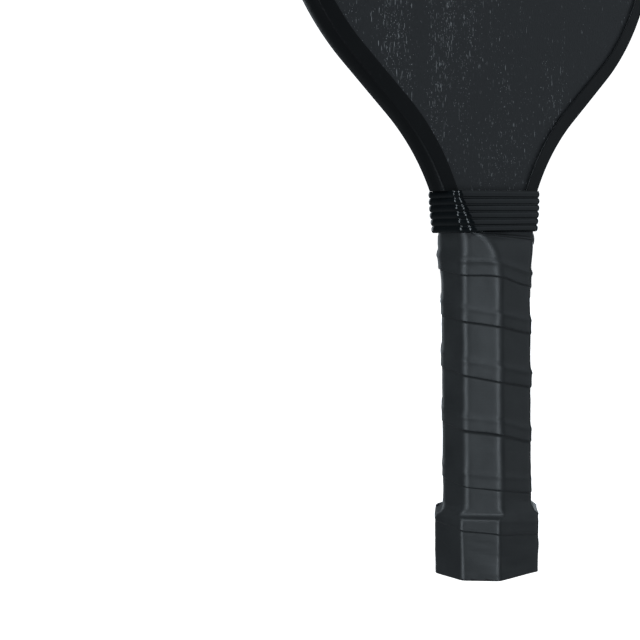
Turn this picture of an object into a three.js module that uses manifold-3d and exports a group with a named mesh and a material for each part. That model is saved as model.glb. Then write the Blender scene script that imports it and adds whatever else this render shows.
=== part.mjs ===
// A pickleball paddle: a honeycomb sandwich head with a moulded edge guard, and an octagonal
// handle built from two pallets, a flared butt cap, wound grip tape and a ribbed rubber collar.
// Millimetres, +Z from the butt end to the tip, +X across the face, front face towards -Y.
import * as THREE from "three";
import { mergeVertices } from "three/addons/utils/BufferGeometryUtils.js";
import Module from "manifold-3d";

const wasm = await Module();
wasm.setup();

// Driving dimensions.
const LENGTH = 400;
const HANDLE_LENGTH = 138;        // butt end to the collar's top edge
const HEAD_HALF_WIDTH = 94;
const GAP = 0.25;                 // glue line or clearance between touching pieces

// The head's outline, from the throat to the tip, is made of tangent arcs and lines.
const TIP_RADIUS = 240;
const CORNER_RADIUS = 62;
const SHOULDER_RADIUS = 88.5;
const SHOULDER_Z = HANDLE_LENGTH + 109.2;   // where the shoulder meets the straight side
const FLANK_ANGLE = THREE.MathUtils.degToRad(49.2);
const FLANK_LENGTH = 25;
const THROAT_RADIUS = 77.5;

const GUARD_THICKNESS = 8.6;
const GUARD_CROWN = 1.15;         // how far the outer side bulges past its edges
const GUARD_LIP_WIDTH = 6.5;
const GUARD_LIP_THICKNESS = 0.8;
const GUARD_LIP_EDGE = 0.4;         // chamfer along the lip's inner edge
const GUARD_WALL = 3.1;
const GUARD_END_Z = HANDLE_LENGTH + GAP;
const GUARD_OVERRUN = 6;          // cut off level at GUARD_END_Z, because the strip arrives there slanting

const FACE_THICKNESS = 0.5;
const FACE_OUTER_Y = GUARD_THICKNESS / 2 - GUARD_LIP_THICKNESS - GAP;
const CORE_HALF = FACE_OUTER_Y - FACE_THICKNESS - GAP;
const SHEET_INSET = GUARD_WALL + GAP;     // from the guard's outline to the head's own edge
const CELL_PITCH = 16;
const CELL_WALL = 1.6;
const CORE_RIM = 1.6;

const TONGUE_START_Z = 8;
const PALLET_START_Z = 3;
const CAP_HEIGHT = 24.2;
const CAP_RIM = 0.6;                // the cap's wall where it thins out at its top
const CAP_EDGE = 0.8;               // chamfer round the butt end
const TAPE_THICKNESS = 1.8;
const TAPE_EDGE = 0.4;              // chamfer round the tape's lower edge
const TAPE_START_Z = 0.2;
const TAPE_END_Z = HANDLE_LENGTH - 10.5;
const TAPE_CLEARANCE = 1.2 * GAP;
const COLLAR_HEIGHT = 14.7;
const COLLAR_WALL = 0.6;
const COLLAR_RIM = 0.8;             // thickness of the flat that closes the collar at its top
const COLLAR_RIBS = 6;
const RIB_HEIGHT = 0.5;
const COLLAR_START_Z = HANDLE_LENGTH - COLLAR_HEIGHT;
const PALLET_END_Z = HANDLE_LENGTH - COLLAR_RIM - GAP;
const FINISHING_TAPE_THICKNESS = 0.3;
const FINISHING_TAPE_START_Z = COLLAR_START_Z + 1;

// Octagonal sections of the handle's wooden part along Z: half width, half depth, and how much
// the corner cuts off across and in depth.
const GRIP_SECTION = { a: 14.9, b: 13.1, cutX: 8.1, cutY: 8.1 };
const SHOULDER_START_Z = 110;
const NECK_SECTION = { a: 16.5, b: 6.3, cutX: 1.6, cutY: 1.6 };
const TOP_SECTION = { a: 19.6, b: 5.4, cutX: 2.2, cutY: 1.6 };
const FLARE_SECTION = { a: 18.1, b: 14.6, cutX: 8.4, cutY: 8.4 };
const FLARE_TOP_Z = 21.2;
// The collar's inside near its top, and the opening that the head passes through.
const COLLAR_MOUTH = { a: 23.8, b: 8, cutX: 3.9, cutY: 3.9 };
const COLLAR_OPENING = { a: 22, b: FACE_OUTER_Y + GAP, cutX: 0.3, cutY: 0.3 };

const STAPLE_WIRE = 1;
const STAPLE_WIDTH = 9;
const STAPLE_LEG = 7;
const STAPLE_Z = 14;

const materials = {
  guard: new THREE.MeshStandardMaterial({ color: 0x24272b, roughness: 0.45 }),
  face: new THREE.MeshStandardMaterial({ color: 0x2b2e33, roughness: 0.55 }),
  core: new THREE.MeshStandardMaterial({ color: 0xd8d9d4, roughness: 0.7 }),
  pallet: new THREE.MeshStandardMaterial({ color: 0xc79f6a, roughness: 0.75 }),
  cap: new THREE.MeshStandardMaterial({ color: 0x1a1c1f, roughness: 0.5 }),
  staple: new THREE.MeshStandardMaterial({ color: 0xb9bcc0, roughness: 0.35, metalness: 1 }),
  grip: new THREE.MeshStandardMaterial({ color: 0x2a2e32, roughness: 0.5 }),
  band: new THREE.MeshStandardMaterial({ color: 0x202226, roughness: 0.6 }),
  collar: new THREE.MeshStandardMaterial({ color: 0x141618, roughness: 0.3 }),
};

const paddle = new THREE.Group();

function addPart(name, geometry, material) {
  const mesh = new THREE.Mesh(geometry, material);
  mesh.name = name;
  paddle.add(mesh);
}

// Solids for cutting and joining.
function toSolid(geometry) {
  const bare = geometry.clone();
  bare.deleteAttribute("normal");
  bare.deleteAttribute("uv");
  const merged = mergeVertices(bare, 1e-4);
  const vertProperties = new Float32Array(merged.attributes.position.array);
  const triVerts = new Uint32Array(merged.index.array);
  return new wasm.Manifold(new wasm.Mesh({ numProp: 3, vertProperties, triVerts }));
}

function toGeometry(solid) {
  const mesh = solid.getMesh();
  const geometry = new THREE.BufferGeometry();
  geometry.setAttribute("position", new THREE.BufferAttribute(mesh.vertProperties, 3));
  geometry.setIndex(new THREE.BufferAttribute(mesh.triVerts, 1));
  geometry.computeVertexNormals();
  return geometry;
}

// The arcs of the right half of the head's outline, from the throat up, moved inwards by the inset.
// Angles are those of the outward normal, measured from +X towards +Z.
function outlinePieces(inset) {
  const side = HEAD_HALF_WIDTH;
  const cornerX = side - CORNER_RADIUS;
  const tipCentreZ = LENGTH - TIP_RADIUS;
  const cornerZ = tipCentreZ + Math.sqrt((TIP_RADIUS - CORNER_RADIUS) ** 2 - cornerX ** 2);
  const cornerEnd = Math.atan2(cornerZ - tipCentreZ, cornerX);
  const shoulderX = side - SHOULDER_RADIUS;
  const flankTop = {
    x: shoulderX + SHOULDER_RADIUS * Math.cos(FLANK_ANGLE),
    z: SHOULDER_Z - SHOULDER_RADIUS * Math.sin(FLANK_ANGLE),
  };
  const flankFoot = {
    x: flankTop.x - FLANK_LENGTH * Math.sin(FLANK_ANGLE),
    z: flankTop.z - FLANK_LENGTH * Math.cos(FLANK_ANGLE),
  };
  const throatX = flankFoot.x + THROAT_RADIUS * Math.cos(FLANK_ANGLE);
  const throatZ = flankFoot.z - THROAT_RADIUS * Math.sin(FLANK_ANGLE);
  return [
    { x: throatX, z: throatZ, radius: -(THROAT_RADIUS + inset), from: 0, to: -FLANK_ANGLE },
    { x: shoulderX, z: SHOULDER_Z, radius: SHOULDER_RADIUS - inset, from: -FLANK_ANGLE, to: 0 },
    { x: cornerX, z: cornerZ, radius: CORNER_RADIUS - inset, from: 0, to: cornerEnd },
    { x: 0, z: tipCentreZ, radius: TIP_RADIUS - inset, from: cornerEnd, to: Math.PI / 2 },
  ];
}

// Points of the right half of the outline, from height startZ up to the tip's middle.
// The lines between the arcs need no points of their own.
function halfOutline(inset, startZ, arcSteps = 10) {
  const points = [];
  for (const arc of outlinePieces(inset)) {
    let from = arc.from;
    if (arc.radius < 0) from = -Math.asin((startZ - arc.z) / -arc.radius);
    for (let i = 0; i <= arcSteps; i++) {
      const angle = from + ((arc.to - from) * i) / arcSteps;
      const x = arc.x + arc.radius * Math.cos(angle);
      const z = arc.z + arc.radius * Math.sin(angle);
      const point = new THREE.Vector2(x, z);
      const last = points[points.length - 1];
      if (!last || last.distanceTo(point) > 0.01) points.push(point);
    }
  }
  return points;
}

// Both halves of the outline: up the right side and down the left. The last point is the tip's middle.
function mirrored(points) {
  const left = points.slice(0, -1).map((point) => new THREE.Vector2(-point.x, point.y));
  return [...points, ...left.reverse()];
}

// The head's outline with the tongue that runs down inside the handle, straight below the throat.
function sheetOutline(inset) {
  const throat = outlinePieces(inset)[0];
  const foot = new THREE.Vector2(throat.x + throat.radius, TONGUE_START_Z + inset - SHEET_INSET);
  return mirrored([foot, ...halfOutline(inset, throat.z)]);
}

// A plate in the XZ plane between two depths; y grows towards the back.
function plate(outline, holes, fromY, toY) {
  const shape = new THREE.Shape(outline);
  shape.holes = holes.map((hole) => new THREE.Path(hole));
  const geometry = new THREE.ExtrudeGeometry(shape, { depth: toY - fromY, bevelEnabled: false, steps: 1 });
  geometry.rotateX(Math.PI / 2);
  geometry.translate(0, toY, 0);
  return geometry;
}

function isInside(point, polygon) {
  let inside = false;
  for (let i = 0, j = polygon.length - 1; i < polygon.length; j = i++) {
    const a = polygon[i];
    const b = polygon[j];
    const crosses = a.y > point.y !== b.y > point.y;
    if (crosses && point.x < ((b.x - a.x) * (point.y - a.y)) / (b.y - a.y) + a.x) inside = !inside;
  }
  return inside;
}

function hexagon(x, z, radius) {
  const corners = [];
  for (let i = 0; i < 6; i++) {
    const angle = (Math.PI / 3) * (i + 0.5);
    corners.push(new THREE.Vector2(x + radius * Math.cos(angle), z + radius * Math.sin(angle)));
  }
  return corners;
}

// Open hexagonal cells in staggered rows, wherever a whole cell fits inside the rim.
function honeycombCells(outline) {
  const cells = [];
  const radius = (CELL_PITCH - CELL_WALL) / Math.sqrt(3);
  const rowHeight = (CELL_PITCH * Math.sqrt(3)) / 2;
  const rows = Math.floor(LENGTH / rowHeight);
  const columns = Math.ceil(HEAD_HALF_WIDTH / CELL_PITCH);
  for (let row = 1; row < rows; row++) {
    for (let column = -columns; column <= columns; column++) {
      const x = (column + (row % 2) / 2) * CELL_PITCH;
      const cell = hexagon(x, row * rowHeight, radius);
      if (cell.every((corner) => isInside(corner, outline))) cells.push(cell);
    }
  }
  return cells;
}

function makeHead() {
  const outline = sheetOutline(SHEET_INSET);
  const cells = honeycombCells(sheetOutline(SHEET_INSET + CORE_RIM));
  addPart("core", plate(outline, cells, -CORE_HALF, CORE_HALF), materials.core);
  const innerY = FACE_OUTER_Y - FACE_THICKNESS;
  addPart("face_sheet_front", plate(outline, [], -FACE_OUTER_Y, -innerY), materials.face);
  addPart("face_sheet_back", plate(outline, [], innerY, FACE_OUTER_Y), materials.face);
}

// The guard's path: up the right side, over the tip and down the left side.
class GuardPath extends THREE.Curve {
  constructor() {
    super();
    const points = mirrored(halfOutline(0, GUARD_END_Z - GUARD_OVERRUN, 24));
    this.points = points.map((p) => new THREE.Vector3(p.x, 0, p.y));
    this.lengths = [0];
    for (let i = 1; i < this.points.length; i++) {
      this.lengths.push(this.lengths[i - 1] + this.points[i].distanceTo(this.points[i - 1]));
    }
  }

  getPoint(t, target = new THREE.Vector3()) {
    const distance = t * this.lengths[this.lengths.length - 1];
    let i = 1;
    while (i < this.points.length - 1 && this.lengths[i] < distance) i++;
    const along = (distance - this.lengths[i - 1]) / (this.lengths[i] - this.lengths[i - 1]);
    return target.lerpVectors(this.points[i - 1], this.points[i], along);
  }
}

// U-shaped channel: x across the thickness, y outwards from the head's edge.
function makeGuard() {
  const half = GUARD_THICKNESS / 2;
  const innerHalf = half - GUARD_LIP_THICKNESS;
  const edge = GUARD_LIP_EDGE;
  const sideSteps = 6;
  const section = new THREE.Shape();
  section.moveTo(-half, -GUARD_CROWN);
  for (let i = 1; i <= sideSteps; i++) {
    const across = -1 + (2 * i) / sideSteps;
    section.lineTo(across * half, -GUARD_CROWN * across ** 2);
  }
  section.lineTo(half, edge - GUARD_LIP_WIDTH);
  section.lineTo(half - edge, -GUARD_LIP_WIDTH);
  section.lineTo(innerHalf, -GUARD_LIP_WIDTH);
  section.lineTo(innerHalf, -GUARD_WALL);
  section.lineTo(-innerHalf, -GUARD_WALL);
  section.lineTo(-innerHalf, -GUARD_LIP_WIDTH);
  section.lineTo(edge - half, -GUARD_LIP_WIDTH);
  section.lineTo(-half, edge - GUARD_LIP_WIDTH);
  const strip = toSolid(new THREE.ExtrudeGeometry(section, { steps: 110, extrudePath: new GuardPath() }));
  const belowZ = GUARD_END_Z - HANDLE_LENGTH / 2;
  const below = box(HEAD_HALF_WIDTH, 2 * GUARD_THICKNESS, HANDLE_LENGTH, 0, 0, belowZ);
  addPart("edge_guard", toGeometry(strip.subtract(below)), materials.guard);
}

// Octagon with its corners cut, anticlockwise seen from +Z.
function octagon({ a, b, cutX, cutY }) {
  const right = [[a, cutY - b], [a, b - cutY], [a - cutX, b], [cutX - a, b]];
  const left = right.map(([x, y]) => [-x, -y]);
  return [...right, ...left];
}

function grown(section, by) {
  const cutChange = by * (2 - Math.SQRT2);
  return {
    a: section.a + by,
    b: section.b + by,
    cutX: section.cutX + cutChange,
    cutY: section.cutY + cutChange,
  };
}

// A closed solid through octagons stacked along Z.
function loft(rings) {
  const positions = [];
  const index = [];
  const count = 8;
  for (const ring of rings) {
    for (const [x, y] of octagon(ring)) positions.push(x, y, ring.z);
  }
  for (let ring = 0; ring < rings.length - 1; ring++) {
    for (let i = 0; i < count; i++) {
      const low = ring * count + i;
      const lowNext = ring * count + ((i + 1) % count);
      index.push(low, lowNext, low + count, lowNext, lowNext + count, low + count);
    }
  }
  const top = (rings.length - 1) * count;
  for (let i = 1; i < count - 1; i++) {
    index.push(0, i + 1, i);
    index.push(top, top + i, top + i + 1);
  }
  const geometry = new THREE.BufferGeometry();
  geometry.setAttribute("position", new THREE.Float32BufferAttribute(positions, 3));
  geometry.setIndex(index);
  geometry.computeVertexNormals();
  return geometry;
}

function box(width, depth, height, x, y, z) {
  return toSolid(new THREE.BoxGeometry(width, depth, height).translate(x, y, z));
}

function sectionAt(stations, z) {
  const next = Math.max(1, stations.findIndex((station) => station.z >= z));
  const low = stations[next - 1];
  const high = stations[next];
  const mix = (key) => THREE.MathUtils.mapLinear(z, low.z, high.z, low[key], high[key]);
  return { z, a: mix("a"), b: mix("b"), cutX: mix("cutX"), cutY: mix("cutY") };
}

// The pallets' outer form between two heights, grown outwards by what lies on it.
function handleRings(by, fromZ, toZ) {
  const stations = [
    { z: PALLET_START_Z, ...GRIP_SECTION },
    { z: SHOULDER_START_Z, ...GRIP_SECTION },
    { z: COLLAR_START_Z, ...NECK_SECTION },
    { z: PALLET_END_Z, ...TOP_SECTION },
  ];
  const between = stations.map((station) => station.z).filter((z) => z > fromZ && z < toZ);
  return [fromZ, ...between, toZ].map((z) => ({ ...grown(sectionAt(stations, z), by), z }));
}

// A wire staple driven in through the cap's wall, grown by a clearance where it serves as a cutter.
// Side is -1 at the front and 1 at the back.
function stapleSolid(side, clearance = 0) {
  const wire = STAPLE_WIRE + 2 * clearance;
  const crownY = FLARE_SECTION.b - STAPLE_WIRE / 2;
  const legY = crownY - STAPLE_LEG / 2;
  const legX = (STAPLE_WIDTH - STAPLE_WIRE) / 2;
  const crown = box(STAPLE_WIDTH + 2 * clearance, wire, wire, 0, side * crownY, STAPLE_Z);
  const legs = [-legX, legX].map((x) => box(wire, STAPLE_LEG + wire, wire, x, side * legY, STAPLE_Z));
  return crown.add(legs[0]).add(legs[1]);
}

function makeStaples() {
  addPart("butt_staple_front", toGeometry(stapleSolid(-1)), materials.staple);
  addPart("butt_staple_back", toGeometry(stapleSolid(1)), materials.staple);
}

function cutStapleHoles(solid) {
  return solid.subtract(stapleSolid(-1, GAP)).subtract(stapleSolid(1, GAP));
}

// Two slabs glued to the front and back of the head's tongue.
function makePallets() {
  const full = cutStapleHoles(toSolid(loft(handleRings(0, PALLET_START_Z, PALLET_END_Z))));
  const depth = GRIP_SECTION.b;
  const middleY = FACE_OUTER_Y + GAP + depth / 2;
  for (const [name, side] of [["handle_pallet_front", -1], ["handle_pallet_back", 1]]) {
    const room = box(3 * depth, depth, HANDLE_LENGTH, 0, side * middleY, HANDLE_LENGTH / 2);
    addPart(name, toGeometry(full.intersect(room)), materials.pallet);
  }
}

function makeButtCap() {
  const outer = toSolid(loft([
    { z: 0, ...grown(FLARE_SECTION, -CAP_EDGE) },
    { z: CAP_EDGE, ...FLARE_SECTION },
    { z: FLARE_TOP_Z, ...FLARE_SECTION },
    { z: CAP_HEIGHT, ...grown(GRIP_SECTION, GAP + CAP_RIM) },
  ]));
  const pocket = grown(GRIP_SECTION, GAP);
  const inner = toSolid(loft([
    { z: PALLET_START_Z - GAP, ...pocket },
    { z: CAP_HEIGHT + 1, ...pocket },
  ]));
  addPart("butt_cap", toGeometry(cutStapleHoles(outer.subtract(inner))), materials.cap);
}

// The wound tape, as one sleeve with its true outer size.
function makeGripTape() {
  const flare = (by, z) => ({ z, ...grown(FLARE_SECTION, by) });
  const clear = TAPE_CLEARANCE;
  const capTop = CAP_HEIGHT + GAP;
  const gripStart = CAP_HEIGHT + 1.5;
  const outer = [
    flare(TAPE_THICKNESS - TAPE_EDGE, TAPE_START_Z),
    flare(TAPE_THICKNESS, TAPE_START_Z + 2 * TAPE_EDGE),
    flare(TAPE_THICKNESS, FLARE_TOP_Z + 1),
    ...handleRings(TAPE_THICKNESS, gripStart, TAPE_END_Z),
  ];
  const inner = [
    flare(clear, TAPE_START_Z - 1),
    flare(clear, FLARE_TOP_Z),
    { z: capTop, ...grown(GRIP_SECTION, GAP + CAP_RIM + clear) },
    ...handleRings(clear, capTop + 0.5, TAPE_END_Z + 1),
  ];
  addPart("grip_tape", toGeometry(toSolid(loft(outer)).subtract(toSolid(loft(inner)))), materials.grip);
}

function makeFinishingTape() {
  const from = FINISHING_TAPE_START_Z;
  const clear = TAPE_THICKNESS + GAP;
  const outer = loft(handleRings(clear + FINISHING_TAPE_THICKNESS, from, TAPE_END_Z));
  const inner = loft(handleRings(clear, from - 1, TAPE_END_Z + 1));
  addPart("finishing_tape", toGeometry(toSolid(outer).subtract(toSolid(inner))), materials.band);
}

// The ribbed sleeve, stretched over the tape's end. A thin flat closes it round the head.
function makeCollar() {
  const wound = TAPE_THICKNESS + 2 * GAP + FINISHING_TAPE_THICKNESS;
  const foot = { z: COLLAR_START_Z, ...grown(NECK_SECTION, wound) };
  const mouth = { z: HANDLE_LENGTH, ...COLLAR_MOUTH };
  const ringSteps = 2 * COLLAR_RIBS;
  const outer = [];
  for (let step = 0; step <= ringSteps; step++) {
    const z = COLLAR_START_Z + (step * COLLAR_HEIGHT) / ringSteps;
    const wall = COLLAR_WALL + (step % 2) * RIB_HEIGHT;
    outer.push({ ...grown(sectionAt([foot, mouth], z), wall), z });
  }
  const inside = [
    { ...foot, z: COLLAR_START_Z - 1 },
    foot,
    { ...COLLAR_MOUTH, z: HANDLE_LENGTH - COLLAR_RIM },
  ];
  const opening = [COLLAR_START_Z, HANDLE_LENGTH + 1].map((z) => ({ z, ...COLLAR_OPENING }));
  const sleeve = toSolid(loft(outer)).subtract(toSolid(loft(inside))).subtract(toSolid(loft(opening)));
  addPart("collar", toGeometry(sleeve), materials.collar);
}

makeHead();
makeGuard();
makePallets();
makeButtCap();
makeStaples();
makeGripTape();
makeFinishingTape();
makeCollar();

export default paddle;
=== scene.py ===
"""The look of a pickleball paddle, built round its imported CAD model.

Sizes in the tables are millimetres, with +Z from butt to tip; new_object turns them into metres.
"""
import contextlib
import math

import bmesh
import bpy
from mathutils import Matrix, Vector, noise


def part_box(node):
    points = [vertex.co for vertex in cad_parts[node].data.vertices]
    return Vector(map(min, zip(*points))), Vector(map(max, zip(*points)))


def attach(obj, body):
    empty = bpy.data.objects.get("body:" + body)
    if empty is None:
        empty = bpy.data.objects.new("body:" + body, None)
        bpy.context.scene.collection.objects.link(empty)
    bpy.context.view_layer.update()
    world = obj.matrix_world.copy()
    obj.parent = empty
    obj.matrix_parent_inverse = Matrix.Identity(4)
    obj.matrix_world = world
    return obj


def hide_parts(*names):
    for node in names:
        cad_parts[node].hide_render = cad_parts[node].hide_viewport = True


MM = 0.001

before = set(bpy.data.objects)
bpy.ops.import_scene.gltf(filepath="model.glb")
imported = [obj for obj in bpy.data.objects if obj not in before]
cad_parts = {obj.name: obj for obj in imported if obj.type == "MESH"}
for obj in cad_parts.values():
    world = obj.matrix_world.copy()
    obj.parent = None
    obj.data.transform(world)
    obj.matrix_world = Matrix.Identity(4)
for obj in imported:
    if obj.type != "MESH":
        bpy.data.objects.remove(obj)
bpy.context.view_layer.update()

# Driving sizes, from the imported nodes.
COLLAR_LOW, COLLAR_TOP = (corner.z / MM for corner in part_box("collar"))
TAPE_LOW, TAPE_TOP = (corner.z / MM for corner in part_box("grip_tape"))
BUTT_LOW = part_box("butt_cap")[0].z / MM
GUARD_HALF_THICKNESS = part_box("edge_guard")[1].y / MM
HEAD_HALF_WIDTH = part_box("edge_guard")[1].x / MM
TIP_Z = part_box("edge_guard")[1].z / MM
FACE_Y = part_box("face_sheet_back")[1].y / MM


# ---------------------------------------------------------------- small helpers

def smooth_step(low, high, value):
    t = min(max((value - low) / (high - low), 0.0), 1.0)
    return t * t * (3 - 2 * t)


def mix(a, b, t):
    return a + (b - a) * t


def quarter_turn(steps):
    """Angles from the first step after 0 up to a right angle."""
    return [math.pi / 2 * step / steps for step in range(1, steps + 1)]


def tangent(stations, row, column):
    """Slope at a row that never makes the curve overshoot: the harmonic mean of its two neighbours'."""
    if row == 0 or row == len(stations) - 1:
        return 0.0
    before, here, after = stations[row - 1:row + 2]
    slope_in = (here[column] - before[column]) / (here[0] - before[0])
    slope_out = (after[column] - here[column]) / (after[0] - here[0])
    if slope_in * slope_out <= 0:
        return 0.0
    return 2 * slope_in * slope_out / (slope_in + slope_out)


def interpolate(stations, at):
    """Values of a table of (position, value, value...) rows at a position, on smooth curves."""
    if at <= stations[0][0]:
        return stations[0][1:]
    if at >= stations[-1][0]:
        return stations[-1][1:]
    row = max(i for i, station in enumerate(stations) if station[0] <= at)
    low, high = stations[row], stations[row + 1]
    span = high[0] - low[0]
    t = (at - low[0]) / span
    values = []
    for column in range(1, len(low)):
        bend_in = tangent(stations, row, column) * span * t * (1 - t) ** 2
        bend_out = tangent(stations, row + 1, column) * span * t ** 2 * (1 - t)
        values.append(mix(low[column], high[column], t * t * (3 - 2 * t)) + bend_in - bend_out)
    return tuple(values)


def add_to_scene(name, data):
    obj = bpy.data.objects.new(name, data)
    bpy.context.scene.collection.objects.link(obj)
    return obj


def new_object(name, verts, faces, material):
    """A smooth-shaded mesh object from millimetre points."""
    mesh = bpy.data.meshes.new(name)
    mesh.from_pydata([tuple(c * MM for c in v) for v in verts], [], faces)
    mesh.validate()
    mesh.update()
    mesh.polygons.foreach_set("use_smooth", [True] * len(mesh.polygons))
    mesh.materials.append(material)
    return add_to_scene(name, mesh)


@contextlib.contextmanager
def editing(obj):
    """Opens an object's mesh for editing and closes it with its faces pointing outwards."""
    bm = bmesh.new()
    bm.from_mesh(obj.data)
    yield bm
    bmesh.ops.recalc_face_normals(bm, faces=bm.faces)
    bm.to_mesh(obj.data)
    bm.free()


def fix_normals(obj):
    with editing(obj):
        pass


def cut_away(bm, z, side):
    """Removes what lies above a level for side 1, or below it for side -1."""
    everything = bm.verts[:] + bm.edges[:] + bm.faces[:]
    return bmesh.ops.bisect_plane(
        bm, geom=everything, dist=1e-6, plane_co=(0, 0, z * MM), plane_no=(0, 0, side), clear_outer=True
    )


def apply_modifiers(obj):
    depsgraph = bpy.context.evaluated_depsgraph_get()
    depsgraph.update()
    mesh = bpy.data.meshes.new_from_object(obj.evaluated_get(depsgraph))
    obj.modifiers.clear()
    obj.data = mesh


def piece(obj, slot, *nodes):
    """Attaches a new piece to the root body and hides the CAD nodes it stands for. The slot is not used."""
    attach(obj, "root")
    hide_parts(*nodes)


# ---------------------------------------------------------------- sections round the handle

ARC_STEPS = 6
FLAT_STEPS = 8


def octagon_corners(a, b, cut):
    """Corners from the left flat's front end, round by the front, to the left flat's back end."""
    front = [(-a, cut - b), (cut - a, -b), (a - cut, -b), (a, cut - b)]
    return front + [(-x, -y) for x, y in front]


def rounded_section(a, b, cut, radius):
    """Points and outward normals of an octagon with rounded corners. The count never changes."""
    corners = [Vector(c) for c in octagon_corners(a, b, cut)]
    count = len(corners)
    normals = []
    for i in range(count):
        edge = corners[(i + 1) % count] - corners[i]
        normals.append(Vector((edge.y, -edge.x)).normalized())
    arcs = []
    for i, corner in enumerate(corners):
        before, after = normals[i - 1], normals[i]
        half = before.angle(after) / 2
        middle = (before + after).normalized()
        centre = corner - middle * (radius / math.cos(half))
        arc = []
        for step in range(ARC_STEPS + 1):
            normal = (before.slerp(after, step / ARC_STEPS)).normalized()
            arc.append((centre + normal * radius, normal))
        arcs.append(arc)
    points = []
    for i, arc in enumerate(arcs):
        points.extend(arc)
        start = arc[-1][0]
        end = arcs[(i + 1) % count][0][0]
        for step in range(1, FLAT_STEPS):
            points.append((start.lerp(end, step / FLAT_STEPS), normals[i]))
    return points


def section_ring(form, z):
    """Points of a rounded octagon at a height."""
    return [(point.x, point.y, z) for point, normal in rounded_section(*form)]


def arc_fractions(points):
    """How far round the section each of its points lies, from 0 to 1."""
    lengths = [0.0]
    for i in range(len(points)):
        lengths.append(lengths[-1] + (points[(i + 1) % len(points)][0] - points[i][0]).length)
    return [length / lengths[-1] for length in lengths[:-1]]


# ---------------------------------------------------------------- grip tape

# The form under the tape's outer layer: height, half width, half depth, corner cut, corner radius.
GRIP_FORM = [
    (0.0, 19.8, 16.3, 9.4, 3.4),
    (21.6, 19.8, 16.2, 9.4, 2.4),
    (23.2, 18.5, 15.7, 11.0, 2.6),
    (25.6, 16.6, 14.85, 8.95, 4.6),
    (105.0, 16.6, 14.8, 8.95, 4.8),
    (109.0, 16.9, 14.8, 8.9, 5.0),
    (115.0, 17.2, 14.7, 8.2, 5.5),
    (119.0, 17.3, 13.7, 6.9, 6.0),
    (122.0, 17.4, 11.8, 5.2, 6.0),
    (COLLAR_LOW, 17.5, 9.5, 3.4, 4.6),
    (TAPE_TOP, 17.9, 7.8, 1.6, 2.0),
]
GRIP_MIDDLE_Z = 60.0     # the section here spaces the columns of points round the handle
SECTION_DIGITS = 2       # points whose heights agree to this many digits share one section

# The tape's turns, from the butt up: height of the lower edge where it crosses the left flat's front
# end, how strongly the edge stands out, and how far it bows up in the next half facet or so.
TURNS = [
    (-37.0, 0.0, 0.0),
    (-17.0, 0.0, 0.0),
    (3.0, 0.0, 0.0),
    (18.5, 0.35, 0.7),
    (33.55, 0.6, 0.5),
    (53.6, 0.8, 1.0),
    (73.55, 1.0, 0.0),
    (92.55, 1.0, 0.5),
    (108.7, 1.5, 1.6),
    (125.0, 1.2, 0.0),
    (143.0, 0.3, 0.0),
]
LAST_TURN_HEIGHT = 17.0  # stands in for the distance to the turn above, which the last one hasn't got
BOW_AT = 0.13            # place of the bow's middle, as a fraction of the way round
BOW_REACH = 0.14
TAPE_WALL = 0.9
# Across a turn: distance above its lower edge, and height above the form. The ridge near 4.5 mm is
# the upper edge of the turn below, showing through.
TURN_PROFILE = [
    (0.0, -0.02),
    (-0.03, 0.12),
    (-0.02, 0.26),
    (0.03, 0.35),
    (0.16, 0.39),
    (0.6, 0.40),
    (1.4, 0.38),
    (2.2, 0.35),
    (3.0, 0.34),
    (3.8, 0.40),
    (4.4, 0.53),
    (4.8, 0.54),
    (5.3, 0.40),
    (5.9, 0.20),
    (6.5, 0.08),
    (7.4, 0.03),
    (8.6, 0.01),
]
UNDERCUT_ROWS = 2        # rows of the profile tucked in under the edge
EDGE_ROWS = 6            # rows of the profile that make the edge itself
UPPER_ROWS = 7           # rows from the profile's end to the next turn
FULLY_SHOWN = 4          # an edge of a quarter of full strength already has its true place

# How uneven the turns are: the amount, then how fast it changes from turn to turn and round the
# handle, and a place of its own in the noise.
STRETCH = (0.25, 7.3, 4.0, 2.0)      # of the profile's width
SWING = (0.35, 3.7, 5.0, 9.0)        # of its height
WOBBLE = (0.35, 5.1, 3.0, 4.0)       # of the edge, up and down, in millimetres
UPPER_WOBBLE = 0.5                   # part of the wobble that the rows above the edge follow

# The tape's own surface: amount in millimetres, then fineness across and along the handle.
SWELL = (0.16, 0.09, 0.16)
SMALL_SWELL = (0.05, 3.1)            # amount, and how much finer it is than the swell
CREASE = (0.045, 0.12, 0.9)

# The butt draws in on its right side over a stretch of its height, and is worn at its front right corner.
SIDE_HOLLOW = 1.2
SIDE_HOLLOW_IN = (9.0, 15.0)
SIDE_HOLLOW_OUT = (19.0, 23.5)
CORNER_WEAR = 1.3
CORNER_WEAR_HEIGHT = 14.0
CORNER_NARROWNESS = 8
DIAGONAL = 0.7071


def unevenness(point, z):
    """Soft swells and fine level creases of the tape's surface."""
    amount, fineness, fineness_z = SWELL
    place = Vector((point.x * fineness, point.y * fineness, z * fineness_z))
    swell = noise.noise(place) * amount + noise.noise(place * SMALL_SWELL[1]) * SMALL_SWELL[0]
    amount, fineness, fineness_z = CREASE
    return swell + noise.noise(Vector((point.x * fineness, point.y * fineness, z * fineness_z))) * amount


def butt_wear(normal, z):
    """How far the surface lies in on the butt's right side and at its front right corner."""
    hollow = smooth_step(*SIDE_HOLLOW_IN, z) * (1 - smooth_step(*SIDE_HOLLOW_OUT, z))
    corner = max(0.0, (normal.x - normal.y) * DIAGONAL) ** CORNER_NARROWNESS
    worn = corner * (1 - smooth_step(0.0, CORNER_WEAR_HEIGHT, z))
    return SIDE_HOLLOW * max(normal.x, 0.0) * hollow + CORNER_WEAR * worn


def varied(kind, turn, around):
    """One kind of unevenness at a place on a turn."""
    amount, per_turn, per_round, own_place = kind
    return amount * noise.noise(Vector((turn * per_turn, around * per_round, own_place)))


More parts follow.
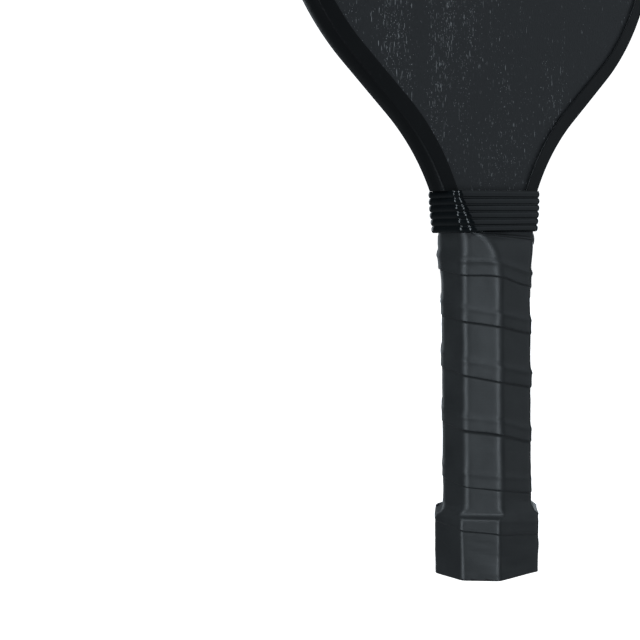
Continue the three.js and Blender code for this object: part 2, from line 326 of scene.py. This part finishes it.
def edge_height(turn, around):
    """Height of a turn's lower edge; turns run down as they go round."""
    here, below = TURNS[turn], TURNS[turn - 1]
    bow = max(0.0, 1.0 - abs(around - BOW_AT) / BOW_REACH)
    return mix(here[0], below[0], around) + here[2] * smooth_step(0.0, 1.0, bow)


def turn_point(turn, around, row, rows):
    """Height along the handle, and height above the form, of a row of points on a turn."""
    low = edge_height(turn, around)
    high = edge_height(turn + 1, around) if turn + 1 < len(TURNS) else low + LAST_TURN_HEIGHT
    strength = mix(TURNS[turn][1], TURNS[turn - 1][1], around)
    if row < len(TURN_PROFILE):
        above, height = TURN_PROFILE[row]
        if row >= EDGE_ROWS:
            above *= 1.0 + varied(STRETCH, turn, around)
        if row >= UNDERCUT_ROWS:
            height *= 1.0 + varied(SWING, turn, around)
    else:
        widest = TURN_PROFILE[-1][0] * (1 + STRETCH[0])
        upper = row - len(TURN_PROFILE) + 1
        above = mix(widest, high - low, upper / (UPPER_ROWS + 1))
        height = 0.0
    shown = min(FULLY_SHOWN * strength, 1.0)
    above = mix((high - low) * row / rows, above, shown)
    wobble = shown * varied(WOBBLE, turn, around)
    return low + above + wobble * (1.0 if row < EDGE_ROWS else UPPER_WOBBLE), height * strength


def make_wound_tape(material):
    fractions = arc_fractions(rounded_section(*interpolate(GRIP_FORM, GRIP_MIDDLE_Z)))
    columns = len(fractions)
    rows = len(TURN_PROFILE) + UPPER_ROWS
    sections = {}
    verts = []
    index = {}

    def surface_point(z, column, height):
        key = round(z, SECTION_DIGITS)
        if key not in sections:
            sections[key] = rounded_section(*interpolate(GRIP_FORM, key))
        point, normal = sections[key][column]
        out = height + unevenness(point, z) - butt_wear(normal, z)
        return (point.x + normal.x * out, point.y + normal.y * out, z)

    def corner(turn, column, row):
        """Index of a face's corner; one turn's top and the next one's lower edge share theirs."""
        if column == columns:
            turn, column = turn - 1, 0
        if row == rows:
            turn, row = turn + 1, 0
        key = (turn, column, row)
        if key not in index:
            z, height = turn_point(turn, fractions[column], row, rows)
            index[key] = len(verts)
            verts.append(surface_point(z, column, height))
        return index[key]

    faces = []
    for turn in range(1, len(TURNS) - 1):
        for column in range(columns):
            for row in range(rows):
                low = (corner(turn, column, row), corner(turn, column + 1, row))
                high = (corner(turn, column + 1, row + 1), corner(turn, column, row + 1))
                faces.append(low + high)
    tape = new_object("wound_grip_tape", verts, faces, material)
    with editing(tape) as bm:
        cut_away(bm, TAPE_LOW, -1)
        cut_away(bm, TAPE_TOP, 1)
    wall = tape.modifiers.new("wall", "SOLIDIFY")
    wall.thickness = TAPE_WALL * MM
    wall.offset = -1
    apply_modifiers(tape)
    for vertex in tape.data.vertices:
        vertex.co.z = min(max(vertex.co.z, TAPE_LOW * MM), TAPE_TOP * MM)
    return tape


# ---------------------------------------------------------------- closed lofts

def loft_faces(rings, columns):
    faces = []
    for ring in range(rings - 1):
        for i in range(columns):
            j = (i + 1) % columns
            low, high = ring * columns, (ring + 1) * columns
            faces.append((low + i, low + j, high + j, high + i))
    return faces


def capped_faces(rings, columns):
    """A loft's faces, then the corners of its two end faces, both in the order of their rings."""
    first = tuple(range(columns))
    last = tuple(range((rings - 1) * columns, rings * columns))
    return loft_faces(rings, columns), first, last


def closed_sleeve(name, outer, inner, material):
    """A sleeve from rings of points, outer from low to high, then inner from high to low."""
    rings = outer + inner[::-1]
    columns = len(rings[0])
    verts = [v for ring in rings for v in ring]
    faces = loft_faces(len(rings), columns)
    last = (len(rings) - 1) * columns
    for i in range(columns):
        j = (i + 1) % columns
        faces.append((last + i, last + j, j, i))
    obj = new_object(name, verts, faces, material)
    fix_normals(obj)
    return obj


# ---------------------------------------------------------------- rubber collar

# The form under the ribs: fraction of the height, half width, half depth, corner cut, corner radius.
COLLAR_FORM = [
    (0.0, 19.2, 10.0, 3.0, 4.0),
    (0.5, 20.5, 8.9, 2.3, 3.0),
    (1.0, 21.4, 7.5, 1.5, 2.0),
]
COLLAR_WALL = 0.5
COLLAR_LID = 0.94                    # from this fraction of the height up, it closes in on the head
COLLAR_SLOT = (21.0, FACE_Y + 0.3, 0.3, 0.2)     # the opening in the lid, as a section
RIBS = 6
RINGS_PER_RIB = 12
RIB_HEIGHT = 0.62
RIB_FULLNESS = 0.55                  # a power under 1 makes a rib fuller than a half wave
TOP_RIM = 0.85                       # the collar's top ends this high up a rib
SWAY = (0.16, 0.08, 2.0)             # of the ribs: amount, and fineness across and up the collar


def collar_ring(t, rib):
    amount, fineness, fineness_up = SWAY
    ring = []
    for point, normal in rounded_section(*interpolate(COLLAR_FORM, t)):
        sway = amount * noise.noise(Vector((point.x * fineness, point.y * fineness, t * fineness_up)))
        z = mix(COLLAR_LOW, COLLAR_TOP, t) + sway * (1 - abs(2 * t - 1))
        ring.append((point.x + normal.x * rib, point.y + normal.y * rib, z))
    return ring


def make_collar(material):
    count = RIBS * RINGS_PER_RIB
    outer = []
    for step in range(count):
        phase = (step % RINGS_PER_RIB) / RINGS_PER_RIB
        outer.append(collar_ring(step / count, RIB_HEIGHT * math.sin(math.pi * phase) ** RIB_FULLNESS))
    outer.append(collar_ring(1.0, RIB_HEIGHT * TOP_RIM))
    inner = []
    for t in (0.0, COLLAR_LID):
        a, b, cut, radius = interpolate(COLLAR_FORM, t)
        form = (a - COLLAR_WALL, b - COLLAR_WALL, cut, radius)
        inner.append(section_ring(form, mix(COLLAR_LOW, COLLAR_TOP, t)))
    for t in (COLLAR_LID, 1.0):
        inner.append(section_ring(COLLAR_SLOT, mix(COLLAR_LOW, COLLAR_TOP, t)))
    return closed_sleeve("ribbed_collar", outer, inner, material)


# ---------------------------------------------------------------- edge guard

# The head's outline is made of tangent arcs: throat, flank line, shoulder, side, corner and tip.
TIP_RADIUS = 240.0
CORNER_RADIUS = 62.0
SHOULDER_RADIUS = 88.5
SHOULDER_Z = COLLAR_TOP + 109.2
FLANK_ANGLE = math.radians(49.2)
FLANK_LENGTH = 25.0
THROAT_RADIUS = 77.5
OUTLINE_STEPS = {"throat": 60, "flank": 12, "shoulder": 70, "side": 16, "corner": 60, "tip": 30}

# The channel's section. Near the collar its crease is rounder, its crown flatter and its lip wider.
GUARD_WALL = 3.1
GUARD_CROWN = 1.15
SOFT_CROWN = 0.8                     # part of the crown that is left where the guard is soft
CREASE_RADIUS = 0.35
SOFT_CREASE_RADIUS = 1.7
CREASE_FLATNESS = 0.9
LIP_WIDTH = 6.5
LIP_CHANGE = 0.5                     # the lip is this much wider by the collar and narrower up the side
LIP_THICKNESS = 0.8
LIP_TILT = 0.45                      # the lip is this much lower at its outer crease than at its inner edge
LIP_ROUND = 0.35
LIP_EDGE_THICKNESS = 0.42            # the lip is thinner than elsewhere along its inner edge, underneath
LIP_EDGE_WIDTH = 1.0
LIP_EDGE_STEP = 0.05
LIP_EDGE_OVERHANG = 0.02
CROWN_STEPS = 14
CREASE_STEPS = 8
LIP_STEPS = 8
LIP_ROUND_STEPS = 5

# Heights above the collar between which the section changes.
SOFT_RISE = (4.0, 46.0)
WIDE_LIP_RISE = (10.0, 60.0)
NARROW_LIP_RISE = (60.0, 110.0)
GUARD_OVERRUN = 7.0      # cut off level at the collar, because the strip arrives there slanting
GUARD_END_GAP = 0.01     # between the guard's ends and the collar's top


def outline_path():
    """Points and outward normals of the outline from the collar, up the right side, to the tip's middle."""
    side = HEAD_HALF_WIDTH
    corner_x = side - CORNER_RADIUS
    tip_z = TIP_Z - TIP_RADIUS
    corner_z = tip_z + math.sqrt((TIP_RADIUS - CORNER_RADIUS) ** 2 - corner_x ** 2)
    corner_end = math.atan2(corner_z - tip_z, corner_x)
    shoulder_x = side - SHOULDER_RADIUS
    flank_x = shoulder_x + SHOULDER_RADIUS * math.cos(FLANK_ANGLE)
    flank_z = SHOULDER_Z - SHOULDER_RADIUS * math.sin(FLANK_ANGLE)
    foot_x = flank_x - FLANK_LENGTH * math.sin(FLANK_ANGLE)
    foot_z = flank_z - FLANK_LENGTH * math.cos(FLANK_ANGLE)
    throat_x = foot_x + THROAT_RADIUS * math.cos(FLANK_ANGLE)
    throat_z = foot_z - THROAT_RADIUS * math.sin(FLANK_ANGLE)
    start = -math.asin((COLLAR_TOP - GUARD_OVERRUN - throat_z) / THROAT_RADIUS)
    flank_normal = Vector((math.cos(FLANK_ANGLE), 0, -math.sin(FLANK_ANGLE)))

    def arc(stretch, x, z, radius, low, high):
        steps = OUTLINE_STEPS[stretch]
        for step in range(steps + 1):
            angle = mix(low, high, step / steps)
            normal = Vector((math.cos(angle), 0, math.sin(angle)))
            yield Vector((x, 0, z)) + normal * radius, normal

    def line(stretch, x_from, z_from, x_to, z_to, normal):
        """The points between a straight stretch's ends."""
        steps = OUTLINE_STEPS[stretch]
        for step in range(1, steps):
            t = step / steps
            yield Vector((mix(x_from, x_to, t), 0, mix(z_from, z_to, t))), normal

    path = list(arc("throat", throat_x, throat_z, -THROAT_RADIUS, start, -FLANK_ANGLE))
    path += line("flank", foot_x, foot_z, flank_x, flank_z, flank_normal)
    path += arc("shoulder", shoulder_x, SHOULDER_Z, SHOULDER_RADIUS, -FLANK_ANGLE, 0.0)
    path += line("side", side, SHOULDER_Z, side, corner_z, Vector((1, 0, 0)))
    path += arc("corner", corner_x, corner_z, CORNER_RADIUS, 0.0, corner_end)
    path += list(arc("tip", 0.0, tip_z, TIP_RADIUS, corner_end, math.pi / 2))[1:]
    return path


def guard_section(softness, lip_width):
    """Channel section as (depth, outwards) points; softness widens the rounding at the crease."""
    half = GUARD_HALF_THICKNESS
    crease = mix(CREASE_RADIUS, SOFT_CREASE_RADIUS, softness)
    crown = mix(GUARD_CROWN, GUARD_CROWN * SOFT_CROWN, softness)
    limit = 1 - (crease + LIP_TILT) / half
    points = []
    for i in range(CROWN_STEPS + 1):
        across = mix(0.0, limit, i / CROWN_STEPS)
        points.append((across * half, -crown * across ** 2))
    depth, out = points[-1]
    for angle in quarter_turn(CREASE_STEPS):
        drop = crease * CREASE_FLATNESS * (1 - math.cos(angle))
        points.append((depth + crease * math.sin(angle), out - drop))
    crease_out = points[-1][1]
    round_from = -lip_width + LIP_ROUND
    for i in range(1, LIP_STEPS + 1):
        t = i / LIP_STEPS
        points.append((half - LIP_TILT * (1 - t), mix(crease_out, round_from, t)))
    for angle in quarter_turn(LIP_ROUND_STEPS):
        points.append((half - LIP_ROUND * (1 - math.cos(angle)), round_from - LIP_ROUND * math.sin(angle)))
    inner = half - LIP_THICKNESS
    thin = half - LIP_EDGE_THICKNESS
    points.append((thin, -lip_width - LIP_EDGE_OVERHANG))
    points.append((thin, -lip_width + LIP_EDGE_WIDTH))
    points.append((inner, -lip_width + LIP_EDGE_WIDTH + LIP_EDGE_STEP))
    points.append((inner, -GUARD_WALL))
    return points + [(-y, n) for y, n in reversed(points[1:])]


def cut_level(obj, low):
    """Cuts a closed mesh off at a height, and closes the cut with a flat, sharp-edged end."""
    with editing(obj) as bm:
        bmesh.ops.recalc_face_normals(bm, faces=bm.faces)
        cut = cut_away(bm, low, -1)
        rim = [item for item in cut["geom_cut"] if isinstance(item, bmesh.types.BMEdge)]
        bmesh.ops.holes_fill(bm, edges=rim, sides=0)
        for edge in rim:
            edge.smooth = False


def make_guard(material):
    right = outline_path()
    left = [(Vector((-p.x, 0, p.z)), Vector((-n.x, 0, n.z))) for p, n in right[:-1]]
    path = right + left[::-1]
    verts = []
    for point, normal in path:
        rise = point.z - COLLAR_TOP
        softness = 1 - smooth_step(*SOFT_RISE, rise)
        lip = LIP_WIDTH + LIP_CHANGE * (1 - smooth_step(*WIDE_LIP_RISE, rise))
        lip -= LIP_CHANGE * smooth_step(*NARROW_LIP_RISE, rise)
        for depth, out in guard_section(softness, lip):
            place = point + normal * out
            verts.append((place.x, depth, place.z))
    faces, first, last = capped_faces(len(path), len(verts) // len(path))
    guard = new_object("edge_guard_strip", verts, faces + [first[::-1], last], material)
    cut_level(guard, COLLAR_TOP + GUARD_END_GAP)
    for polygon in guard.data.polygons:
        if len(polygon.vertices) > 4:
            polygon.use_smooth = False
    return guard


# ---------------------------------------------------------------- butt end

# A bevelled plate with a shallow dished middle, inside the tape's rim.
BUTT_FORM = (17.8, 14.35, 8.4, 2.0)  # half width, half depth, corner cut, corner radius
BUTT_TOP = 20.0
BUTT_BEVEL = 1.0
BUTT_BEVEL_STEPS = 4
BUTT_SUPPORT = 0.1                   # a ring this far above the bevel keeps the wall's shading flat
BUTT_RIM = 3.4                       # width of the flat rim round the dish
DISH_SLOPE = 1.2                     # width and depth of the slope into the dish
DISH_DEPTH = 0.7
DISH_STEPS = 4
DISH_MIDDLE = (9.0, 0.75)            # inset and depth of the dish's flat middle
INSET_CUT = 0.586                    # an octagon's corner cut shrinks by this part of its inset
INSET_RADIUS = 0.1
SMALLEST_RADIUS = 0.4


def butt_ring(inset, z):
    a, b, cut, radius = BUTT_FORM
    radius = max(radius - inset * INSET_RADIUS, SMALLEST_RADIUS)
    return section_ring((a - inset, b - inset, cut - inset * INSET_CUT, radius), z)


def make_butt_end(material):
    bevel_z = BUTT_LOW + BUTT_BEVEL
    rings = [butt_ring(0.0, BUTT_TOP), butt_ring(0.0, bevel_z + BUTT_SUPPORT), butt_ring(0.0, bevel_z)]
    for angle in quarter_turn(BUTT_BEVEL_STEPS):
        rings.append(butt_ring(BUTT_BEVEL * (1 - math.cos(angle)), bevel_z - BUTT_BEVEL * math.sin(angle)))
    rings.append(butt_ring(BUTT_RIM, BUTT_LOW))
    for step in range(1, DISH_STEPS + 1):
        t = step / DISH_STEPS
        rings.append(butt_ring(BUTT_RIM + DISH_SLOPE * t, BUTT_LOW + DISH_DEPTH * smooth_step(0, 1, t)))
    rings.append(butt_ring(DISH_MIDDLE[0], BUTT_LOW + DISH_MIDDLE[1]))
    verts = [v for ring in rings for v in ring]
    faces, first, last = capped_faces(len(rings), len(rings[0]))
    obj = new_object("butt_end_cap", verts, faces + [first, last[::-1]], material)
    fix_normals(obj)
    return obj


# ---------------------------------------------------------------- materials

MIX_FACTOR, MIX_A, MIX_B, MIX_RESULT = 0, 6, 7, 2        # the colour sockets of a Mix node
MIDDLE = (0.3, 0.7)                  # the part of a noise's range that most of its values lie in


class Nodes:
    """A short way to write a node tree. What adds a node gives back its output socket."""

    def __init__(self, name):
        self.material = bpy.data.materials.new(name)
        self.material.use_nodes = True
        self.tree = self.material.node_tree
        self.tree.nodes.clear()
        output = self.tree.nodes.new("ShaderNodeOutputMaterial")
        self.shader = self.tree.nodes.new("ShaderNodeBsdfPrincipled")
        self.tree.links.new(self.shader.outputs["BSDF"], output.inputs["Surface"])
        self.place = self.tree.nodes.new("ShaderNodeTexCoord").outputs["Object"]

    def add(self, kind, output, inputs, **settings):
        """Adds a node whose inputs each get a value or a link."""
        node = self.tree.nodes.new(kind)
        for name, value in settings.items():
            setattr(node, name, value)
        for name, value in inputs.items():
            if isinstance(value, bpy.types.NodeSocket):
                self.tree.links.new(value, node.inputs[name])
            else:
                node.inputs[name].default_value = value
        return node.outputs[output]

    def drive(self, name, source):
        """Links a socket of the shader."""
        self.tree.links.new(source, self.shader.inputs[name])

    def set(self, **values):
        for key, value in values.items():
            self.shader.inputs[key.replace("_", " ")].default_value = value

    def noise(self, scale, detail=4.0, roughness=0.55):
        """Noise; the scale, in features a metre, is one number or one for each axis."""
        place = self.place
        if isinstance(scale, tuple):
            place = self.add("ShaderNodeMapping", "Vector", {"Vector": place, "Scale": scale})
            scale = 1.0
        inputs = {"Vector": place, "Scale": scale, "Detail": detail, "Roughness": roughness}
        return self.add("ShaderNodeTexNoise", "Fac", inputs)

    def cells(self, scale):
        return self.add("ShaderNodeTexVoronoi", "Distance", {"Vector": self.place, "Scale": scale})

    def sideways(self):
        """Place across the object, in metres."""
        return self.add("ShaderNodeSeparateXYZ", "X", {"Vector": self.place})

    def ramp(self, source, low, high):
        """A colour ramp between two stops, each (position, colour)."""
        colour = self.add("ShaderNodeValToRGB", "Color", {"Fac": source})
        for element, (position, value) in zip(colour.node.color_ramp.elements, (low, high)):
            element.position = position
            element.color = (*value, 1.0)
        return colour

    def grey(self, source, low, high, from_low, from_high):
        """Maps a number's range from_low..from_high to low..high."""
        inputs = {"Value": source, "From Min": from_low, "From Max": from_high, "To Min": low, "To Max": high}
        return self.add("ShaderNodeMapRange", "Result", inputs)

    def math(self, operation, a, b):
        return self.add("ShaderNodeMath", "Value", {0: a, 1: b}, operation=operation)

    def mixed(self, factor, a, b):
        """Mixes two colours, each a tuple or a socket."""
        a, b = ((*value, 1.0) if isinstance(value, tuple) else value for value in (a, b))
        inputs = {MIX_FACTOR: factor, MIX_A: a, MIX_B: b}
        return self.add("ShaderNodeMix", MIX_RESULT, inputs, data_type="RGBA")

    def roughness(self, source, low, high):
        self.drive("Roughness", self.grey(source, low, high, *MIDDLE))

    def bump(self, *layers):
        """Stacks height layers, each (source, strength, distance in metres)."""
        normal = None
        for source, strength, distance in layers:
            inputs = {"Strength": strength, "Distance": distance, "Height": source}
            if normal:
                inputs["Normal"] = normal
            normal = self.add("ShaderNodeBump", "Normal", inputs)
        self.drive("Normal", normal)


def face_material():
    """Black sprayed sheet with fine upright flecks of its grain, painted pale grey as the glints the grain
    catches, so partly grain and partly painted highlight; thicker in some places than in others.
    """
    n = Nodes("face_sheet")
    streak = n.noise((2700, 2700, 330), 1.0, 0.5)
    dot = n.noise((2700, 2700, 1500), 1.0, 0.5)
    patch = n.grey(n.noise((75, 75, 16), 3.0, 0.6), -0.07, 0.05, 0.35, 0.65)
    across = n.grey(n.sideways(), 0.03, -0.05, -0.05, 0.045)
    density = n.math("ADD", patch, across)
    raised = n.math("ADD", n.math("MAXIMUM", streak, dot), density)
    # Painted highlight: the flecks' pale grey stands in for the grain's own glints, and patch and across set
    # where these painted glints gather.
    grain_and_glint_fleck = n.grey(raised, 0.0, 1.0, 0.70, 0.77)
    fine = n.noise((1500, 1500, 900), 2.0, 0.6)
    body = n.ramp(fine, (0.35, (0.010, 0.0108, 0.0118)), (0.65, (0.0165, 0.0172, 0.0185)))
    n.drive("Base Color", n.mixed(grain_and_glint_fleck, body, (0.20, 0.204, 0.208)))
    n.roughness(fine, 0.42, 0.62)
    n.set(Specular_IOR_Level=0.34)
    n.bump((fine, 0.35, 0.00012), (raised, 0.30, 0.0001))
    return n.material


def grip_material():
    """Black synthetic leather: smooth and slightly tacky, with a fine grain and soft stretch marks."""
    n = Nodes("grip_tape")
    grain = n.cells(1500.0)
    stretch = n.noise((90, 90, 1300), 3.0, 0.6)
    blotch = n.noise(60.0, 3.0, 0.6)
    n.drive("Base Color", n.ramp(blotch, (0.3, (0.0074, 0.0082, 0.0087)), (0.7, (0.0104, 0.0115, 0.0121))))
    n.roughness(blotch, 0.38, 0.48)
    n.set(Specular_IOR_Level=0.5, Sheen_Weight=0.05, Sheen_Roughness=0.4)
    n.bump((grain, 0.10, 0.00006), (stretch, 0.30, 0.0001), (blotch, 0.12, 0.0006))
    return n.material


def collar_material():
    """Glossy black rubber with faint dust and handling marks."""
    n = Nodes("rubber_collar")
    smear = n.noise(140.0, 4.0, 0.6)
    n.drive("Base Color", n.ramp(smear, (0.35, (0.0025, 0.0034, 0.004)), (0.7, (0.004, 0.0054, 0.006))))
    n.roughness(smear, 0.11, 0.15)
    n.set(Specular_IOR_Level=0.26)
    n.bump((smear, 0.05, 0.0003))
    return n.material


def guard_material():
    """Satin moulded plastic with a fine grain and light scuffs."""
    n = Nodes("edge_guard")
    grain = n.noise(2200.0, 2.0, 0.6)
    scuff = n.noise((500, 1400, 500), 4.0, 0.7)
    wear = n.ramp(scuff, (0.60, (0.0, 0.0, 0.0)), (0.78, (1.0, 1.0, 1.0)))
    n.drive("Base Color", n.mixed(wear, (0.0020, 0.0024, 0.0028), (0.007, 0.0078, 0.0085)))
    n.roughness(n.noise(40.0, 3.0), 0.38, 0.46)
    n.set(Specular_IOR_Level=0.19)
    n.bump((grain, 0.10, 0.00005), (scuff, 0.10, 0.00008))
    return n.material


def cap_material():
    """Black moulded plastic with a fine spark-eroded grain."""
    n = Nodes("butt_cap")
    grain = n.noise(1700.0, 3.0, 0.7)
    cloud = n.noise(120.0, 3.0)
    n.drive("Base Color", n.ramp(cloud, (0.35, (0.010, 0.011, 0.0125)), (0.7, (0.017, 0.018, 0.020))))
    n.roughness(cloud, 0.45, 0.6)
    n.bump((grain, 0.45, 0.00008))
    return n.material


def wood_material():
    """Sanded light wood with its fibres along the handle."""
    n = Nodes("pallet_wood")
    fibre = n.noise((420, 420, 14), 5.0, 0.65)
    ring = n.noise((90, 90, 5), 2.0, 0.5)
    blend = n.grey(n.math("ADD", fibre, ring), 0.0, 1.0, 0.6, 1.4)
    n.drive("Base Color", n.ramp(blend, (0.2, (0.30, 0.165, 0.07)), (0.8, (0.60, 0.40, 0.20))))
    n.set(Roughness=0.7)
    n.bump((fibre, 0.3, 0.0002))
    return n.material


def core_material():
    """Translucent white polymer."""
    n = Nodes("honeycomb_core")
    cloud = n.noise(300.0, 4.0)
    n.drive("Base Color", n.ramp(cloud, (0.3, (0.66, 0.67, 0.63)), (0.7, (0.80, 0.81, 0.78))))
    n.set(Roughness=0.45, Subsurface_Weight=0.15)
    n.bump((cloud, 0.2, 0.0001))
    return n.material


def staple_material():
    """Bright steel wire, drawn along its length."""
    n = Nodes("staple_wire")
    brush = n.noise((300, 4000, 4000), 3.0, 0.6)
    n.roughness(brush, 0.22, 0.42)
    n.drive("Base Color", n.ramp(brush, (0.3, (0.48, 0.49, 0.50)), (0.7, (0.62, 0.63, 0.64))))
    n.set(Metallic=1.0)
    n.bump((brush, 0.1, 0.00005))
    return n.material


def band_material():
    """Black vinyl tape."""
    n = Nodes("finishing_band")
    weave = n.noise(900.0, 3.0)
    n.drive("Base Color", n.ramp(weave, (0.35, (0.009, 0.010, 0.011)), (0.7, (0.016, 0.017, 0.018))))
    n.set(Roughness=0.4)
    n.bump((weave, 0.2, 0.00006))
    return n.material


def floor_material():
    """Nearly white, and bright mostly by its own glow, so that it matches the backdrop."""
    n = Nodes("studio_floor")
    n.drive("Base Color", n.ramp(n.noise(3.0, 3.0), (0.3, (0.90, 0.90, 0.90)), (0.7, (0.92, 0.92, 0.92))))
    n.set(Roughness=0.9, Specular_IOR_Level=0.1, Emission_Color=(1, 1, 1, 1), Emission_Strength=0.97)
    return n.material


def backdrop_material():
    """White, and evenly bright by its own glow."""
    n = Nodes("studio_backdrop")
    body = n.ramp(n.noise(0.5, 2.0), (0.3, (0.97, 0.97, 0.97)), (0.7, (1.0, 1.0, 1.0)))
    n.drive("Base Color", body)
    n.drive("Emission Color", body)
    n.set(Roughness=1.0, Specular_IOR_Level=0.0, Emission_Strength=1.0)
    return n.material


# ---------------------------------------------------------------- build

def dress(material, *nodes):
    """Gives CAD nodes that stay in view a finer material."""
    for node in nodes:
        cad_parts[node].material_slots[0].material = material


dress(face_material(), "face_sheet_front", "face_sheet_back")
dress(core_material(), "core")
dress(wood_material(), "handle_pallet_front", "handle_pallet_back")
dress(staple_material(), "butt_staple_front", "butt_staple_back")
dress(band_material(), "finishing_tape")

piece(make_wound_tape(grip_material()), "grip", "grip_tape")
piece(make_collar(collar_material()), "collar", "collar")
piece(make_guard(guard_material()), "guard", "edge_guard")
piece(make_butt_end(cap_material()), "cap", "butt_cap")


# ---------------------------------------------------------------- studio

FLOOR_RADIUS = 4.0
FLOOR_SEGMENTS = 96
BACKDROP_RADIUS = 3.9
BACKDROP_SEGMENTS = (64, 32)         # round, and from bottom to top
LIGHT_COLOUR = (0.82, 0.92, 1.0)
LIGHTS_AIM = (0.0, 0.0, 0.12)
# Large soft lights: name, azimuth, elevation, distance, width, height, watts.
SOFT_LIGHTS = [
    ("fill", 56.0, 12.0, 2.0, 1.3, 2.34, 5.2),
    ("rim_left", -178.0, 6.0, 1.8, 1.1, 1.1, 5.0),
    ("rim_right", 128.0, 6.0, 1.8, 0.8, 0.8, 7.0),
    ("top", -20.0, 75.0, 1.8, 1.4, 1.4, 3.0),
]
# Small lights in two columns, which make the sharp highlights on ribs and folds.
EDGE_AZIMUTHS = (-24.0, -84.0)
EDGE_HEIGHTS = [(-16.0, 3.6), (8.0, 3.8), (48.0, 5.0)]   # elevation, watts
EDGE_DISTANCE = 1.3
EDGE_SIZE = 0.25


def stage_piece(name, bm, material, unseen_by):
    """A part of the studio, hidden from the named kinds of light ray."""
    mesh = bpy.data.meshes.new(name)
    bm.to_mesh(mesh)
    bm.free()
    mesh.materials.append(material)
    obj = add_to_scene(name, mesh)
    for ray in unseen_by:
        setattr(obj, "visible_" + ray, False)


def make_floor():
    """A pale floor that casts no shadow on the paddle and isn't seen in its reflections."""
    bm = bmesh.new()
    bmesh.ops.create_circle(bm, cap_ends=True, cap_tris=False, segments=FLOOR_SEGMENTS, radius=FLOOR_RADIUS)
    stage_piece("floor", bm, floor_material(), ("glossy", "diffuse", "shadow"))


def make_backdrop():
    """A pale dome all round, seen by the camera only, so that it doesn't flatten the lighting."""
    bm = bmesh.new()
    around, up = BACKDROP_SEGMENTS
    bmesh.ops.create_uvsphere(bm, u_segments=around, v_segments=up, radius=BACKDROP_RADIUS)
    stage_piece("backdrop", bm, backdrop_material(), ("diffuse", "glossy", "shadow", "transmission"))


def towards(azimuth, elevation):
    """Direction of a place from the paddle, in degrees; azimuth 0 is in front (-Y), 90 on the +X side."""
    a, e = math.radians(azimuth), math.radians(elevation)
    return Vector((math.sin(a) * math.cos(e), -math.cos(a) * math.cos(e), math.sin(e)))


def area_light(name, azimuth, elevation, distance, width, height, watts):
    data = bpy.data.lights.new(name, "AREA")
    data.shape = "RECTANGLE"
    data.size = width
    data.size_y = height
    data.energy = watts
    data.color = LIGHT_COLOUR
    light = add_to_scene(name, data)
    light.visible_camera = False
    away = towards(azimuth, elevation)
    light.location = Vector(LIGHTS_AIM) + away * distance
    light.rotation_mode = "QUATERNION"
    light.rotation_quaternion = (-away).to_track_quat("-Z", "Y")


def make_world():
    """Faint light from all round, about four times as strong from below, as off a white table."""
    world = bpy.data.worlds.new("studio")
    world.use_nodes = True
    tree = world.node_tree
    direction = tree.nodes.new("ShaderNodeTexCoord")
    axes = tree.nodes.new("ShaderNodeSeparateXYZ")
    shade = tree.nodes.new("ShaderNodeMapRange")
    for socket, value in (("From Min", -0.7), ("From Max", 0.05), ("To Min", 0.22), ("To Max", 0.05)):
        shade.inputs[socket].default_value = value
    background = tree.nodes["Background"]
    tree.links.new(direction.outputs["Generated"], axes.inputs["Vector"])
    tree.links.new(axes.outputs["Z"], shade.inputs["Value"])
    tree.links.new(shade.outputs["Result"], background.inputs["Strength"])
    background.inputs["Color"].default_value = (*LIGHT_COLOUR, 1.0)
    bpy.context.scene.world = world


make_floor()
make_backdrop()
for light in SOFT_LIGHTS:
    area_light(*light)
for azimuth in EDGE_AZIMUTHS:
    for elevation, watts in EDGE_HEIGHTS:
        area_light("edge", azimuth, elevation, EDGE_DISTANCE, EDGE_SIZE, EDGE_SIZE, watts)
make_world()
bpy.context.scene.view_settings.view_transform = "Standard"

# ---------------------------------------------------------------- camera

CAMERA_AT = (-0.32506, -0.31951, 0.12441)
CAMERA_AZIMUTH = -37.895
CAMERA_ELEVATION = 4.044
CAMERA_ROLL = 0.927
CAMERA_LENS = 70.066
SENSOR_WIDTH = 36.0
NEAREST_SEEN = 0.01
FARTHEST_SEEN = 100.0


def make_camera():
    data = bpy.data.cameras.new("camera")
    data.lens = CAMERA_LENS
    data.sensor_width = SENSOR_WIDTH
    data.clip_start = NEAREST_SEEN
    data.clip_end = FARTHEST_SEEN
    camera = add_to_scene("camera", data)
    forward = -towards(CAMERA_AZIMUTH, CAMERA_ELEVATION)
    level = forward.to_track_quat("-Z", "Y").to_matrix()
    roll = Matrix.Rotation(math.radians(-CAMERA_ROLL), 3, "Z")
    camera.matrix_world = Matrix.Translation(CAMERA_AT) @ (level @ roll).to_4x4()
    bpy.context.scene.camera = camera


make_camera()
